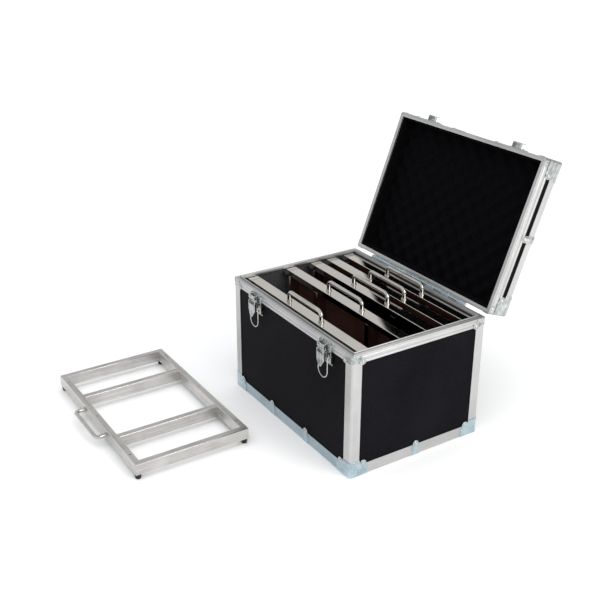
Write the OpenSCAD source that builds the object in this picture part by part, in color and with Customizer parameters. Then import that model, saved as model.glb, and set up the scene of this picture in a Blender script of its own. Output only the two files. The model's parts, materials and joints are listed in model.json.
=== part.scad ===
// Aluminium-edged carrying case for painting racks.
// The case stands open with its lid leaned back on the hinge stops. Five racks stand in their
// slots with a painting board screwed to the back of each, and the sixth lies beside the case.
// The origin is the middle of the case's underside, +X along the front, +Y to the back, +Z up.

/* [Case] */
// Length of the case along its front
case_l = 400; // [340:1:520]
// Depth of the case from front to back
case_d = 290; // [280:1:380]
// Height of the lower shell, up to the lid seam
case_h = 239; // [200:1:320]
// Thickness of the wooden panels of the lower shell
panel_t = 6; // [4:0.5:9]
// Thickness of the cloth lining on the walls and floor
lining_t = 1; // [0.5:0.1:3]

/* [Aluminium edges] */
// Wall thickness of every edge extrusion
edge_t = 1.5; // [1:0.1:2.5]
// Leg width of the corner posts and bottom rails
edge_w = 20; // [14:1:26]
// Outer radius of the upright corners
corner_r = 4; // [2:0.5:8]
// Visible height of the rim extrusion round the mouth
rim_h = 16; // [12:1:24]
// Height of the dust tongue that stands up inside the lid
tongue_h = 2.5; // [1.5:0.5:5]

/* [Lid] */
// Height of the lid
lid_h = 44.5; // [40:0.5:80]
// Thickness of the lid panels
lid_panel_t = 4.5; // [3:0.5:6]
// Visible height of the lid's rim extrusion
lid_rim_h = 20; // [14:1:24]
// Visible height of the lid's top edge extrusion
lid_edge_h = 14; // [10:1:18]
// Thickness of the foam pad in the lid
foam_t = 15; // [8:0.5:20]
// Angle that the lid opens to, on the stops of its hinges
lid_open = 110.7; // [0:0.1:115]
// Gap between the rim of the case and the rim of the lid
seam_gap = 0.4; // [0.3:0.1:1]

/* [Racks] */
// Number of rack slots
slots = 6; // [4:1:6]
// Gap between each end of a rack and the lip of the rim
rack_end_gap = 2; // [1:0.5:10]
// Distance of a rack's top below the top of the rim
rack_top_gap = 4.7; // [4:0.1:30]
// Depth of the rack rails
rail_d = 22.5; // [18:0.5:24]
// Face width of the rack rails
rail_w = 12; // [9:0.5:16]
// Wall of the rack's tube
rail_wall = 1.5; // [1:0.1:2.5]
// Distance of each cross bar's middle from the middle of the rack
bar_x = 84; // [60:1:110]
// Height of the rubber feet
foot_h = 9.5; // [5:0.5:10]
// Radius of the rubber feet
foot_r = 6; // [4:0.5:7]
// Distance between the legs of a rack handle
grip_l = 107; // [90:1:130]
// Radius of the handle rod
grip_r = 3.9; // [2.5:0.1:4.2]
// Height of the handle rod's middle above the rail
grip_h = 19.2; // [14:0.1:20]
// Bend radius of the handle
grip_bend = 9; // [6:0.5:10]
// Thickness of a painting board
board_t = 3; // [2:0.5:4]

/* [Latches] */
// Middle of the left latch from the middle of the front
latch_left_x = -110; // [-150:1:-60]
// Middle of the right latch from the middle of the front
latch_right_x = 124; // [60:1:150]
// Height of the lever pin below the rim
lever_drop = 17; // [15:0.5:20]
// Length of the wire loop from its pivot to the middle of its bow
loop_l = 41.5; // [40:0.5:44]
// Radius of the loop wire
wire_r = 1.1; // [0.8:0.1:1.4]
// Half of the distance between the two legs of the loop
loop_half = 13.8; // [13.6:0.1:15]

/* [Hinge] */
// Length of the hinge along the back
hinge_l = 284; // [200:2:300]
// Radius of the hinge knuckle
knuckle_r = 3.6; // [3:0.1:3.8]
// Radius of the hinge pin
hinge_pin_r = 2; // [1.5:0.1:2.4]

/* [Hidden] */
$fn = 48;

// Fits
run_gap = 0.05;      // radial clearance of a pin in its hole
side_gap = 0.3;      // clearance between faces that move past each other
mitre_gap = 0.1;     // hairline between mitred pieces
eps = 0.01;

// Finishes
aluminium = [0.80, 0.80, 0.79];
zinc = [0.68, 0.73, 0.77];
chrome = [0.85, 0.85, 0.86];
laminate = [0.07, 0.07, 0.08];
lining_grey = [0.20, 0.20, 0.22];
hardboard = [0.27, 0.15, 0.11];
rubber_black = [0.04, 0.04, 0.04];
foam_black = [0.05, 0.05, 0.05];

// Heights
brace_t = 1;
rail_z = brace_t;
rebate = 1;
floor_z = rail_z + edge_t;
floor_top = floor_z + panel_t;
floor_lining_t = lining_t + 0.5;
inside_z = floor_top + floor_lining_t;
lid_z = case_h + seam_gap;
lid_top = lid_z + lid_h;
hinge_z = case_h + seam_gap / 2;

// Depths, counted inwards from the outer faces of the extrusions
panel_in = edge_t + panel_t;
wall_in = panel_in + lining_t;
rim_in = wall_in + edge_t;
lid_in = edge_t + lid_panel_t;
lid_rim_in = lid_in + edge_t;
lip_h = 4;
foam_side_t = 6;

// Hinge axis behind the back face
hinge_off = knuckle_r + 0.6;
hinge_y = case_d / 2 + hinge_off;
leaf_t = 1.2;

// Rack places
guide_t = 3;
guide_h = 2.5;
screw_head_r = 3.2;
screw_head_h = 1.2;
rack_l = case_l - 2 * (rim_in + rack_end_gap);
rack_s = case_h - inside_z - side_gap - rack_top_gap;
rack_back = rail_d / 2 + board_t + screw_head_h;
slot_inset = wall_in - 0.6;
slot_pitch = (case_d - 2 * slot_inset + 7.2) / slots;
slot_play = (slot_pitch - guide_t) / 2 - side_gap - rail_d / 2;
rack_lean = [0.39, 0, -0.1, 0.98, 0.24, -0.15];
rack_z = inside_z + side_gap + rack_s / 2;
loose_place = [-181.2, -347.8, rail_d / 2 + foot_h];
hole_x = [-152, 0, 152];
board_screw_r = 1.8;
foot_in = foot_r + 0.3;
board_gap = 0.1;

// Rivets
rivet_r = 1.6;
rivet_head_r = 3.4;
rivet_head_h = 1.1;

// Corner braces
brace_leg = 38;
brace_band = 17;
brace_tall = 31;
brace_tall_leg = 21;
lug_r = 7;
lug_x = 28;
lug_z = 23;
rim_brace_leg = 19;
rim_lug_x = 21;
rim_lug_r = 6.5;
rim_lug_drop = 13;
ring_strap_leg = 15;
ring_strap_h = 12;
ring_rivet_x = 10;
ring_rivet_z = 6;

// Edge clips
clip_w = 17;
clip_x = case_l * 0.1475;
clip_band = 16;
clip_lug_r = 6.5;
clip_lug_z = 23;
clip_under = 14;

// Latch
plate_w = 38;
plate_t = 1.2;
plate_top = case_h - 1;
plate_h = 41;
plate_edge_h = 3.4;
lever_pin_r = 1.4;
pin_out = 9;
pin_z = case_h - lever_drop;
ear_in = 9.2;
ear_t = 1;
ear_r = 3.2;
hood_h = 8;
hood_gap = 1.4;      // below the hood, above the raised lever
hood_hole_r = 2.1;
flange_in = ear_in + ear_t + side_gap;
flange_t = 1.1;
lever_half = flange_in + flange_t;
web_out = pin_out + ear_r + 0.4;
web_t = 1;
hood_out = web_out + web_t;
hood_z = pin_z + web_out + web_t - pin_out + hood_gap + 0.6;
loop_out = 7.6;
loop_drop = 10;
loop_z = pin_z - loop_drop;
hook_half = 9.6;
hook_out = 11.6;
hook_t = 1.1;
hook_z = lid_z + 1.5;
hook_shelf = loop_z + loop_l - 7.4;
hook_top = loop_z + loop_l + 0.6;
plate_rivet_x = 13.4;
catch_half = 17;
catch_rivet_x = 13.3;

function side_off(k) = k % 2 == 0 ? case_d / 2 : case_l / 2;
function side_len(k) = k % 2 == 0 ? case_l : case_d;
function slot_y(i) = -case_d / 2 + slot_inset + slot_pitch * (i - 0.5);
function rack_y(i) = min(slot_y(i) + rack_lean[i - 1] * slot_play,
    case_d / 2 - rim_in - rack_back - 2 * side_gap);

// ---------- helpers ----------

// Side k of the case: 0 front, 1 right, 2 back, 3 left. Local -Y points outwards.
module on_side(k) {
    rotate([0, 0, 90 * k])
        translate([0, -side_off(k), 0])
            children();
}

// Each corner in turn, with +X and +Y running inwards from it.
module at_corners() {
    for (sx = [-1, 1])
        for (sy = [-1, 1])
            translate([sx * case_l / 2, sy * case_d / 2, 0])
                mirror([sx > 0 ? 1 : 0, 0, 0])
                    mirror([0, sy > 0 ? 1 : 0, 0])
                        children();
}

// Turns the closed lid back about the hinge axis.
module opened() {
    translate([0, hinge_y, hinge_z])
        rotate([-lid_open, 0, 0])
            translate([0, -hinge_y, -hinge_z])
                children();
}

module rounded_plan(l, d, r) {
    square([l - 2 * r, d], center = true);
    square([l, d - 2 * r], center = true);
    for (sx = [-1, 1])
        for (sy = [-1, 1])
            translate([sx * (l / 2 - r), sy * (d / 2 - r)])
                circle(r);
}

// A band that follows the case's outline, between two depths from the outer face.
module band(z0, z1, from, to) {
    r_out = max(corner_r - from, 0.5);
    r_in = max(corner_r - to, 0.5);
    translate([0, 0, z0])
        linear_extrude(z1 - z0)
            difference() {
                rounded_plan(case_l - 2 * from, case_d - 2 * from, r_out);
                rounded_plan(case_l - 2 * to, case_d - 2 * to, r_in);
            }
}

// One mitred quarter of the outline, side k.
module mitre_wedge(k, z0, z1) {
    half = side_len(k) / 2 + 2;
    deep = 60;
    on_side(k)
        translate([0, 0, z0])
            linear_extrude(z1 - z0)
                polygon([
                    [-half + mitre_gap, -2],
                    [half - mitre_gap, -2],
                    [half - mitre_gap - deep, deep - 2],
                    [-half + mitre_gap + deep, deep - 2]]);
}

// Outline of a corner, r round, with legs of the given size.
module corner_plan(r, size) {
    translate([r, 0])
        square([size - r, size]);
    translate([0, r])
        square([size, size - r]);
    translate([r, r])
        circle(r);
}

// Bent sheet that wraps a corner outside the extrusions.
module corner_wrap(z0, z1, leg) {
    translate([0, 0, z0])
        linear_extrude(z1 - z0)
            difference() {
                translate([-brace_t, -brace_t])
                    corner_plan(corner_r + brace_t, leg + brace_t);
                corner_plan(corner_r, leg + 1);
            }
}

// Keeps only what lies inside the outline child on both faces of a corner.
module both_faces() {
    deep = corner_r + 2;
    translate([0, deep - brace_t - 1, 0])
        rotate([90, 0, 0])
            linear_extrude(deep)
                children();
    translate([-brace_t - 1, 0, 0])
        rotate([90, 0, 90])
            linear_extrude(deep)
                children();
}

// A rivet whose head sits on a sheet of the given thickness, pointing to local -Y.
module rivet(grip, proud) {
    rotate([90, 0, 0]) {
        translate([0, 0, -grip])
            cylinder(r = rivet_r, h = grip + proud + eps);
        translate([0, 0, proud])
            rotate_extrude()
                polygon([
                    [0, 0],
                    [rivet_head_r, 0],
                    [rivet_head_r * 0.86, rivet_head_h * 0.6],
                    [rivet_head_r * 0.5, rivet_head_h * 0.93],
                    [0, rivet_head_h]]);
    }
}

// The hole that such a rivet needs.
module rivet_hole(deep) {
    rotate([90, 0, 0])
        translate([0, 0, -deep])
            cylinder(r = rivet_r + run_gap, h = deep + 4);
}

// ---------- rivet places ----------

module case_rivet_places(brace, plate) {
    for (k = [0:3])
        on_side(k) {
            half = side_len(k) / 2;
            for (s = [-1, 1]) {
                if (brace)
                    translate([s * (half - lug_x), 0, lug_z])
                        children();
                if (brace)
                    translate([s * (half - rim_lug_x), 0, case_h - rim_lug_drop])
                        children();
                if (brace && k % 2 == 0)
                    translate([s * clip_x, 0, clip_lug_z])
                        children();
            }
            if (brace && k % 2 == 1)
                translate([0, 0, clip_lug_z])
                    children();
        }
    if (plate) {
        for (x = [latch_left_x, latch_right_x])
            for (s = [-1, 1])
                on_side(0) {
                    translate([x + s * plate_rivet_x, 0, plate_top - 7])
                        children();
                    translate([x + s * 5, 0, plate_top - plate_h + 5])
                        children();
                }
        for (s = [-2:2])
            on_side(2)
                translate([s * hinge_l * 0.23, 0, case_h - 16])
                    children();
    }
}

module lid_rivet_places(brace, plate) {
    for (k = [0:3])
        on_side(k) {
            half = side_len(k) / 2;
            for (s = [-1, 1]) {
                if (brace)
                    translate([s * (half - lug_x), 0, lid_top + brace_t - lug_z])
                        children();
                if (brace)
                    translate([s * (half - ring_rivet_x), 0, lid_z + ring_rivet_z])
                        children();
                if (brace && k % 2 == 0)
                    translate([s * clip_x, 0, lid_top + brace_t - clip_lug_z])
                        children();
            }
            if (brace && k % 2 == 1)
                translate([0, 0, lid_top + brace_t - clip_lug_z])
                    children();
        }
    if (plate) {
        for (x = [latch_left_x, latch_right_x])
            for (s = [-1, 1])
                on_side(0)
                    translate([x + s * catch_rivet_x, 0, lid_z + 9.5])
                        children();
        for (s = [-2:2])
            on_side(2)
                translate([s * hinge_l * 0.23, 0, lid_z + 9.2])
                    children();
    }
}

module drilled_case() {
    difference() {
        children();
        case_rivet_places(true, true)
            rivet_hole(panel_in + 0.2);
    }
}

module drilled_lid() {
    difference() {
        children();
        lid_rivet_places(true, true)
            rivet_hole(lid_in + 0.2);
    }
}

// ---------- wooden shell ----------

// The floor's edges are rebated, so its middle comes down between the rails.
module case_floor() {
    mid_l = case_l / 2 - edge_w - side_gap;
    mid_d = case_d / 2 - edge_w - side_gap;
    cut = brace_leg - edge_w + 1;
    color(laminate) {
        translate([0, 0, floor_z + panel_t / 2])
            cube([case_l - 2 * panel_in, case_d - 2 * panel_in, panel_t], center = true);
        translate([0, 0, floor_z - rebate])
            linear_extrude(rebate + eps)
                polygon([
                    [mid_l, cut - mid_d],
                    [mid_l, mid_d - cut],
                    [mid_l - cut, mid_d],
                    [cut - mid_l, mid_d],
                    [-mid_l, mid_d - cut],
                    [-mid_l, cut - mid_d],
                    [cut - mid_l, -mid_d],
                    [mid_l - cut, -mid_d]]);
    }
}

// Space inside the outer skin of the extrusions, round at the corners.
module inside_skin() {
    intersection() {
        children();
        linear_extrude(lid_top)
            rounded_plan(case_l - 2 * edge_t, case_d - 2 * edge_t, corner_r - edge_t);
    }
}

// A long wall runs past the end walls.
module long_wall(k) {
    color(laminate)
        drilled_case()
            inside_skin()
                on_side(k)
                    translate([-case_l / 2, edge_t, floor_z])
                        cube([case_l, panel_t, case_h - edge_t - floor_z]);
}

module case_front() {
    long_wall(0);
}

module case_back() {
    long_wall(2);
}

module end_wall(k) {
    color(laminate)
        drilled_case()
            on_side(k)
                translate([-case_d / 2 + panel_in, edge_t, floor_z])
                    cube([case_d - 2 * panel_in, panel_t, case_h - edge_t - floor_z]);
}

module case_left_end() {
    end_wall(3);
}

module case_right_end() {
    end_wall(1);
}

// Cloth lining: one sheet on the floor and one on each wall.
module case_lining() {
    color(lining_grey) {
        wall_h = case_h - edge_t - inside_z - mitre_gap;
        translate([0, 0, floor_top + floor_lining_t / 2])
            cube([case_l - 2 * panel_in, case_d - 2 * panel_in, floor_lining_t], center = true);
        for (k = [0:3])
            on_side(k) {
                len = side_len(k) - 2 * (k % 2 == 0 ? panel_in : wall_in + mitre_gap);
                translate([-len / 2, panel_in, inside_z + mitre_gap])
                    cube([len, lining_t, wall_h]);
            }
    }
}

// Low strips on the floor that keep the bottom rails of the racks apart, clear of their feet.
module rack_guides() {
    guide_l = rack_l - 2 * (foot_in + foot_r + 1);
    color(aluminium)
        for (i = [1:slots - 1])
            translate([0, slot_y(i) + slot_pitch / 2, inside_z + guide_h / 2])
                cube([guide_l, guide_t, guide_h], center = true);
}

// ---------- aluminium edges of the case ----------

module corner_posts() {
    color(aluminium)
        drilled_case()
            intersection() {
                band(rail_z + edge_w, case_h - rim_h, 0, edge_t);
                at_corners()
                    translate([-1, -1, 0])
                        cube([edge_w + 1, edge_w + 1, case_h]);
            }
}

module bottom_rails() {
    color(aluminium)
        drilled_case()
            for (k = [0:3])
                on_side(k) {
                    len = side_len(k) - 2 * (k % 2 == 0 ? corner_r + 1 : edge_w + mitre_gap);
                    translate([-len / 2, 0, rail_z])
                        cube([len, edge_t, edge_w]);
                    translate([-len / 2, 0, rail_z])
                        cube([len, edge_w, edge_t]);
                }
}

// Four mitred channels over the top edge of the walls, with a tongue that stands up.
module case_rim() {
    color(aluminium)
        drilled_case()
            for (k = [0:3])
                intersection() {
                    union() {
                        band(case_h - rim_h, case_h, 0, edge_t);
                        band(case_h - edge_t, case_h, 0, rim_in);
                        band(case_h - lip_h, case_h + tongue_h, wall_in, rim_in);
                    }
                    mitre_wedge(k, 0, lid_top);
                }
}

// ---------- pressed corner pieces ----------

module brace_outline() {
    translate([-2, 0])
        square([brace_leg + 2, brace_band]);
    translate([-2, 0])
        square([brace_tall_leg + 2, brace_tall]);
    translate([lug_x, lug_z])
        circle(lug_r);
    translate([brace_tall_leg - 1, brace_band - 1])
        square([lug_x - brace_tall_leg + 1, lug_z - brace_band + 1]);
}

// Three-sided corner with a riveted lug on each upright face.
module bottom_brace() {
    intersection() {
        corner_wrap(0, brace_tall, brace_leg);
        both_faces()
            brace_outline();
    }
    linear_extrude(brace_t)
        intersection() {
            translate([-brace_t, -brace_t])
                corner_plan(corner_r + brace_t, brace_leg + brace_t);
            polygon([
                [-brace_t, -brace_t],
                [brace_leg, -brace_t],
                [brace_leg, edge_w],
                [edge_w, brace_leg],
                [-brace_t, brace_leg]]);
        }
}

module rim_brace_outline() {
    translate([-2, case_h - rim_h])
        square([rim_brace_leg + 2, rim_h - 0.5]);
    translate([rim_lug_x, case_h - rim_lug_drop])
        circle(rim_lug_r);
}

module rim_brace() {
    intersection() {
        corner_wrap(case_h - rim_lug_drop - rim_lug_r, case_h - 0.5, rim_lug_x + rim_lug_r);
        both_faces()
            rim_brace_outline();
    }
}

module case_corner_braces() {
    color(zinc)
        drilled_case()
            at_corners() {
                bottom_brace();
                rim_brace();
            }
}

// Folded clip that ties a bottom rail to the wall.
module edge_clip() {
    translate([-clip_w / 2, -brace_t, 0])
        cube([clip_w, brace_t, clip_band]);
    translate([-clip_w / 2, -brace_t, 0])
        cube([clip_w, clip_under, brace_t]);
    translate([0, 0, clip_lug_z])
        rotate([90, 0, 0])
            cylinder(r = clip_lug_r, h = brace_t);
    translate([-clip_lug_r, -brace_t, clip_band - 1])
        cube([2 * clip_lug_r, brace_t, clip_lug_z - clip_band + 1]);
}

module clip_places() {
    for (k = [0:3])
        on_side(k) {
            if (k % 2 == 0)
                for (s = [-1, 1])
                    translate([s * clip_x, 0, 0])
                        children();
            if (k % 2 == 1)
                children();
        }
}

module edge_clips() {
    color(zinc)
        drilled_case()
            clip_places()
                edge_clip();
}

module case_rivets() {
    color(chrome) {
        case_rivet_places(true, false)
            rivet(panel_in, brace_t);
        case_rivet_places(false, true)
            rivet(panel_in, plate_t);
    }
}

// ---------- latches ----------

module latch_places() {
    for (x = [latch_left_x, latch_right_x])
        on_side(0)
            translate([x, 0, 0])
                children();
}

// Base plate with turned-up edges, two ears that hold the lever pin and a hood above them.
module latch_plate() {
    difference() {
        union() {
            translate([-plate_w / 2, -plate_t, plate_top - plate_h])
                cube([plate_w, plate_t, plate_h]);
            for (s = [-1, 1])
                translate([s * (plate_w / 2 - 0.5) - 0.5, -plate_t - plate_edge_h, plate_top - plate_h + 3])
                    cube([1, plate_edge_h + eps, plate_h - 6]);
            for (s = [-1, 1])
                translate([s * (ear_in + ear_t / 2) - ear_t / 2, 0, 0]) {
                    translate([0, -pin_out, pin_z - ear_r])
                        cube([ear_t, pin_out - plate_t + eps, hood_z + hood_h - pin_z + ear_r]);
                    translate([0, -hood_out, hood_z])
                        cube([ear_t, hood_out - plate_t + eps, hood_h]);
                    translate([0, -pin_out, pin_z])
                        rotate([0, 90, 0])
                            cylinder(r = ear_r, h = ear_t);
                }
            translate([-ear_in - ear_t, -hood_out, hood_z])
                cube([2 * (ear_in + ear_t), web_t, hood_h]);
        }
        translate([-plate_w, -pin_out, pin_z])
            rotate([0, 90, 0])
                cylinder(r = lever_pin_r + run_gap, h = 2 * plate_w);
        translate([-ear_in / 2, -hood_out - 1, hood_z + hood_h / 2])
            rotate([-90, 0, 0])
                cylinder(r = hood_hole_r, h = web_t + 2);
    }
}

module latch_plates() {
    color(zinc)
        drilled_case()
            latch_places()
                latch_plate();
}

// Side view of a lever flange, drawn outwards and up from the pin.
module lever_flange() {
    circle(r = 3.9);
    polygon([
        [-3.9, 0],
        [web_out + web_t - pin_out - eps, 0],
        [web_out + web_t - pin_out - eps, -17],
        [0.5, -17],
        [-3.9, -13]]);
}

// Lever: two flanges on the pin, a web across the front and a tongue that curls out.
module latch_lever() {
    difference() {
        union() {
            for (s = [-1, 1])
                translate([s * (flange_in + flange_t / 2) - flange_t / 2, -pin_out, pin_z])
                    rotate([90, 0, 90])
                        linear_extrude(flange_t)
                            mirror([1, 0])
                                lever_flange();
            translate([-lever_half, -web_out - web_t, pin_z - 17])
                cube([2 * lever_half, web_t, 13]);
            translate([0, -web_out, pin_z - 16.6])
                rotate([90 - 6, 0, 0])
                    linear_extrude(web_t)
                        polygon([
                            [-lever_half, 0],
                            [lever_half, 0],
                            [4.5, -11.5],
                            [2.5, -13],
                            [-2.5, -13],
                            [-4.5, -11.5]]);
        }
        translate([-plate_w, -pin_out, pin_z])
            rotate([0, 90, 0])
                cylinder(r = lever_pin_r + run_gap, h = 2 * plate_w);
        translate([-plate_w, -loop_out, loop_z])
            rotate([0, 90, 0])
                cylinder(r = wire_r + run_gap, h = 2 * plate_w);
    }
}

module latch_lever_left() {
    color(zinc)
        on_side(0)
            translate([latch_left_x, 0, 0])
                latch_lever();
}

module latch_lever_right() {
    color(zinc)
        on_side(0)
            translate([latch_right_x, 0, 0])
                latch_lever();
}

// Wire loop that hangs from the lever, with its two ends turned in.
module latch_loop() {
    leg = loop_l - loop_half;
    translate([0, -loop_out, loop_z]) {
        for (s = [-1, 1]) {
            translate([s * loop_half, 0, -leg])
                cylinder(r = wire_r, h = leg);
            translate([s * loop_half, 0, 0])
                sphere(r = wire_r);
            translate([s > 0 ? flange_in + 0.1 : -loop_half, 0, 0])
                rotate([0, 90, 0])
                    cylinder(r = wire_r, h = loop_half - flange_in - 0.1);
        }
        translate([0, 0, -leg])
            rotate([90, 0, 0])
                rotate([0, 0, 180])
                    rotate_extrude(angle = 180)
                        translate([loop_half, 0])
                            circle(r = wire_r);
    }
}

module latch_loop_left() {
    color(chrome)
        on_side(0)
            translate([latch_left_x, 0, 0])
                latch_loop();
}

module latch_loop_right() {
    color(chrome)
        on_side(0)
            translate([latch_right_x, 0, 0])
                latch_loop();
}

// ---------- hinges ----------

knuckles = 13;
knuckle_l = hinge_l / knuckles;

// One hinge leaf: a plate flat on the back, and every second knuckle. up is 1 or -1.
module hinge_leaf(first, up) {
    leaf_h = up > 0 ? 15 : 23;
    clear_h = knuckle_r + side_gap;
    difference() {
        union() {
            translate([-hinge_l / 2, -leaf_t, up > 0 ? hinge_z + clear_h : hinge_z - leaf_h])
                cube([hinge_l, leaf_t, leaf_h - clear_h]);
            for (i = [first:2:knuckles - 1])
                translate([-hinge_l / 2 + i * knuckle_l + side_gap / 2, 0, 0]) {
                    translate([0, -leaf_t, up > 0 ? hinge_z : hinge_z - clear_h - eps])
                        cube([knuckle_l - side_gap, leaf_t, clear_h + eps]);
                    translate([0, -hinge_off, hinge_z])
                        rotate([0, 90, 0])
                            cylinder(r = knuckle_r, h = knuckle_l - side_gap);
                }
        }
        translate([-hinge_l, -hinge_off, hinge_z])
            rotate([0, 90, 0])
                cylinder(r = hinge_pin_r + run_gap, h = 2 * hinge_l);
    }
}

module hinge_lower_leaf() {
    color(zinc)
        drilled_case()
            on_side(2)
                hinge_leaf(0, -1);
}

module hinge_upper_leaf() {
    color(zinc)
        opened()
            drilled_lid()
                on_side(2)
                    hinge_leaf(1, 1);
}

// The long pin of the hinge, and the short pins of the latch levers.
module pivot_pins() {
    head = 0.8;
    color(chrome) {
        on_side(2)
            translate([-hinge_l / 2 - head, -hinge_off, hinge_z])
                rotate([0, 90, 0]) {
                    cylinder(r = hinge_pin_r, h = hinge_l + 2 * head);
                    cylinder(r = hinge_pin_r + 0.8, h = head - run_gap);
                    translate([0, 0, hinge_l + head + run_gap])
                        cylinder(r = hinge_pin_r + 0.8, h = head - run_gap);
                }
        latch_places()
            translate([-lever_half - 0.4, -pin_out, pin_z])
                rotate([0, 90, 0]) {
                    cylinder(r = lever_pin_r, h = 2 * lever_half + 0.8);
                    cylinder(r = lever_pin_r + 0.7, h = 0.35);
                    translate([0, 0, 2 * lever_half + 0.45])
                        cylinder(r = lever_pin_r + 0.7, h = 0.35);
                }
    }
}

// ---------- lid, drawn closed and then turned back ----------

module lid_top_panel() {
    color(laminate)
        opened()
            translate([0, 0, lid_top - edge_t - lid_panel_t / 2])
                cube([case_l - 2 * lid_in, case_d - 2 * lid_in, lid_panel_t], center = true);
}

module lid_side_panels() {
    color(laminate)
        opened()
            drilled_lid()
                inside_skin()
                    for (k = [0:3])
                        on_side(k) {
                            len = side_len(k) - 2 * (k % 2 == 0 ? 0 : lid_in + mitre_gap);
                            translate([-len / 2, edge_t, lid_z + edge_t])
                                cube([len, lid_panel_t, lid_h - 2 * edge_t]);
                        }
}

module lid_rim() {
    color(aluminium)
        opened()
            drilled_lid()
                for (k = [0:3])
                    intersection() {
                        union() {
                            band(lid_z, lid_z + lid_rim_h, 0, edge_t);
                            band(lid_z, lid_z + edge_t, 0, lid_rim_in);
                            band(lid_z, lid_z + lip_h, lid_in, lid_rim_in);
                        }
                        mitre_wedge(k, 0, lid_top);
                    }
}

module lid_edge_rails() {
    color(aluminium)
        opened()
            drilled_lid()
                for (k = [0:3])
                    intersection() {
                        union() {
                            band(lid_top - lid_edge_h, lid_top, 0, edge_t);
                            band(lid_top - edge_t, lid_top, 0, edge_w);
                        }
                        mitre_wedge(k, 0, lid_top + 1);
                    }
}

module ring_strap() {
    intersection() {
        corner_wrap(lid_z + 0.5, lid_z + ring_strap_h, ring_strap_leg);
        both_faces()
            translate([-2, 0])
                square([ring_strap_leg + 2, lid_top]);
    }
}

module lid_corner_braces() {
    color(zinc)
        opened()
            drilled_lid()
                at_corners() {
                    translate([0, 0, lid_top + brace_t])
                        mirror([0, 0, 1])
                            bottom_brace();
                    ring_strap();
                }
}

module lid_clips() {
    color(zinc)
        opened()
            drilled_lid()
                translate([0, 0, lid_top + brace_t])
                    mirror([0, 0, 1])
                        clip_places()
                            edge_clip();
}

module lid_rivets() {
    color(chrome)
        opened() {
            lid_rivet_places(true, false)
                rivet(lid_in, brace_t);
            lid_rivet_places(false, true)
                rivet(lid_in, plate_t);
        }
}

// Foam: a pad under the top panel and a strip round the walls of the lid.
module lid_foam() {
    pad_z = lid_top - lid_in - foam_t;
    color(foam_black)
        opened() {
            translate([0, 0, pad_z + foam_t / 2])
                cube([case_l - 2 * lid_in - 1, case_d - 2 * lid_in - 1, foam_t], center = true);
            band(lid_z + lip_h + 0.2, pad_z + eps, lid_in + 0.1, lid_in + foam_side_t);
        }
}

// Strike plate with a hook: two cheeks, a shelf and a front strap that the wire loop drops behind.
module lid_catch() {
    translate([-catch_half, -plate_t, lid_z + 1.5])
        cube([2 * catch_half, plate_t, 16.5]);
    for (s = [-1, 1])
        translate([s * (hook_half - hook_t / 2) - hook_t / 2, -hook_out, hook_z])
            cube([hook_t, hook_out - plate_t + eps, hook_shelf - hook_z]);
    translate([-hook_half, -hook_out, hook_z])
        cube([2 * hook_half, hook_t, hook_top - hook_z]);
    translate([-hook_half, -hook_out, hook_shelf - hook_t])
        cube([2 * hook_half, hook_out - plate_t + eps, hook_t]);
}

module lid_catches() {
    color(zinc)
        opened()
            drilled_lid()
                latch_places()
                    lid_catch();
}

// ---------- carrying handle on top of the lid ----------

handle_half = 70;
cap_over = 12;
cap_l = 26;
cap_w = 28;
cap_h = 9;
strap_w = 22;
strap_t = 5;
strap_rise = 22;

module carry_handle() {
    steps = 20;
    bow = handle_half - cap_over;
    function rise(x) = strap_rise * (1 - pow(min(abs(x) / bow, 1), 4));
    function along(i) = -handle_half + 2 * handle_half * i / steps;
    low = lid_top + 1.2;
    color(rubber_black)
        opened()
            rotate([90, 0, 0])
                linear_extrude(strap_w, center = true)
                    polygon(concat(
                        [for (i = [0:steps])
                            [along(i), low + rise(along(i))]],
                        [for (i = [0:steps])
                            [along(steps - i), low + strap_t + rise(along(steps - i))]]));
}

// Pressed end caps, hollow where the strap's ends lie in them.
module carry_handle_caps() {
    color(zinc)
        opened()
            for (s = [-1, 1])
                mirror([s > 0 ? 0 : 1, 0, 0])
                    translate([handle_half - cap_over, -cap_w / 2, lid_top])
                        difference() {
                            cube([cap_l, cap_w, cap_h]);
                            translate([-1, (cap_w - strap_w) / 2 - 0.2, -1])
                                cube([cap_l - 3, strap_w + 0.4, cap_h]);
                        }
}

// ---------- racks ----------

// Rack parts are drawn standing, about the middle of the frame. Local -Y is the side of the feet.
module rack_place(i) {
    if (i == 2)
        translate(loose_place)
            rotate([90, 0, 0])
                children();
    else
        translate([0, rack_y(i), rack_z])
            children();
}

module tube(l, w) {
    difference() {
        cube([l, rail_d, w], center = true);
        cube([l + 2, rail_d - 2 * rail_wall, w - 2 * rail_wall], center = true);
    }
}

module rack_mitre(l, w) {
    rotate([90, 0, 0])
        linear_extrude(rail_d + 2, center = true)
            polygon([
                [-l / 2 + mitre_gap, w / 2],
                [l / 2 - mitre_gap, w / 2],
                [l / 2 - mitre_gap - w, -w / 2],
                [-l / 2 + mitre_gap + w, -w / 2]]);
}

// Four mitred tubes and two cross bars between the long ones.
module rack_frame() {
    color(aluminium)
        difference() {
            union() {
                for (s = [0, 1])
                    rotate([0, 180 * s, 0])
                        translate([0, 0, rack_s / 2 - rail_w / 2])
                            intersection() {
                                tube(rack_l, rail_w);
                                rack_mitre(rack_l, rail_w);
                            }
                for (s = [0, 1])
                    rotate([0, 90 + 180 * s, 0])
                        translate([0, 0, rack_l / 2 - rail_w / 2])
                            intersection() {
                                tube(rack_s, rail_w);
                                rack_mitre(rack_s, rail_w);
                            }
                for (s = [-1, 1])
                    translate([s * bar_x, 0, 0])
                        rotate([0, 90, 0])
                            tube(rack_s - 2 * rail_w - 2 * mitre_gap, rail_w);
            }
            board_holes(rail_d, board_screw_r + run_gap);
        }
}

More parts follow.
